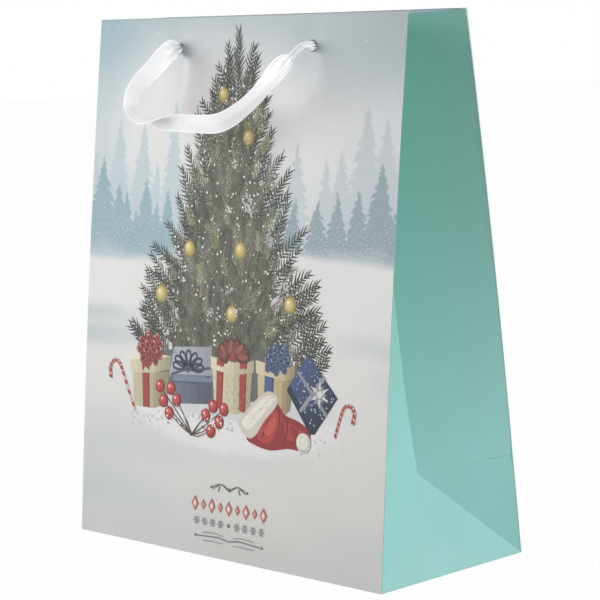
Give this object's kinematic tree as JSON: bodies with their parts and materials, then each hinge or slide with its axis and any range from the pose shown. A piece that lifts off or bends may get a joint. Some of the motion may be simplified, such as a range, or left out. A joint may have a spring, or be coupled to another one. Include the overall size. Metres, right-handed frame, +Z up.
{
  "type": "paper gift bag",
  "caption": "Upright paper gift bag with folded-in side gussets, a block base with a loose board, a reinforced mouth and knotted satin ribbon handles.",
  "frame": {"origin": "centre of the base, on the surface the bag stands on", "axes": "+Z up to the mouth, -Y towards the printed front, +X to the right seen from the front"},
  "size_m": [0.26, 0.1342, 0.3184],
  "materials": {
    "printed_paper": "satin",
    "gusset_paper": "satin",
    "inner_paper": "matte",
    "base_paper": "satin",
    "hem_card": "matte",
    "base_board": "matte",
    "satin_ribbon": "satin"
  },
  "bodies": {
    "bag_base": {"base_front_flap": "base_paper", "base_back_flap": "base_paper", "base_right_tuck": "gusset_paper", "base_left_tuck": "gusset_paper", "base_board": "base_board", "right_gusset_base_triangle": "gusset_paper", "left_gusset_base_triangle": "gusset_paper", "right_gusset_front_half": "gusset_paper", "right_gusset_back_half": "gusset_paper", "left_gusset_front_half": "gusset_paper", "left_gusset_back_half": "gusset_paper"},
    "front_side": {"front_panel": "printed_paper", "front_top_hem": "inner_paper", "front_hem_card": "hem_card", "front_ribbon_knots": "satin_ribbon"},
    "back_side": {"back_panel": "printed_paper", "back_top_hem": "inner_paper", "back_hem_card": "hem_card", "side_seam_flap": "inner_paper", "back_ribbon_knots": "satin_ribbon"},
    "front_handle": {"front_ribbon_handle": "satin_ribbon"},
    "back_handle": {"back_ribbon_handle": "satin_ribbon"}
  },
  "joints": [
    {"name": "front_panel_lean", "type": "hinge", "parent": "bag_base", "child": "front_side", "pos_m": [0, -0.06, 0.0004], "axis": [1, 0, 0], "range_deg": [-3.2, 3], "deforming": ["right_gusset_front_half", "left_gusset_front_half"]},
    {"name": "back_panel_lean", "type": "hinge", "parent": "bag_base", "child": "back_side", "pos_m": [0, 0.06, 0.0004], "axis": [-1, 0, 0], "range_deg": [-3.2, 3], "deforming": ["right_gusset_back_half", "left_gusset_back_half"]},
    {"name": "front_handle_swing", "type": "hinge", "parent": "front_side", "child": "front_handle", "pos_m": [0, -0.02631, 0.30051], "axis": [-1, 0, 0], "range_deg": [0, 60], "deforming": ["front_ribbon_handle"]},
    {"name": "back_handle_swing", "type": "hinge", "parent": "back_side", "child": "back_handle", "pos_m": [0, 0.02631, 0.30051], "axis": [1, 0, 0], "range_deg": [0, 60], "deforming": ["back_ribbon_handle"]}
  ]
}
